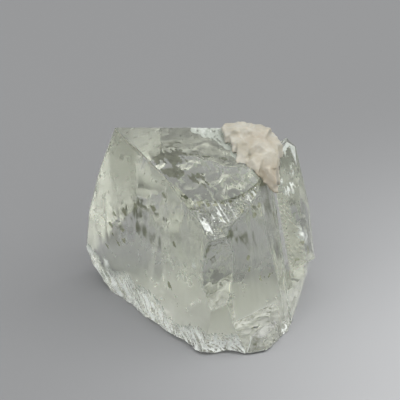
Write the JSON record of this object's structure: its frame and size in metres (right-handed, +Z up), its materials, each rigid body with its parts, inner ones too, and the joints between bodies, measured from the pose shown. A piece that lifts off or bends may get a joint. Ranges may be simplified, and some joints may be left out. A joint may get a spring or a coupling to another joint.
{
  "type": "topaz crystal specimen",
  "caption": "Clear, faintly green topaz crystal with a roofed top and a broken base, with a cream patch of feldspar grown on one upper corner.",
  "frame": {"origin": "on the surface that the specimen rests on, at the middle of its broken base, a few millimetres in front of the crest of its roof", "axes": "+Z up along the crystal's prism, +X along the crest towards the feldspar, -Y towards the front slope of the roof, which is the side to look at"},
  "size_m": [0.0308, 0.0251, 0.0259],
  "materials": {
    "topaz": "polished",
    "feldspar": "matte"
  },
  "bodies": {
    "root": {"topaz_crystal": "topaz", "feldspar_cluster": "feldspar"}
  },
  "joints": []
}
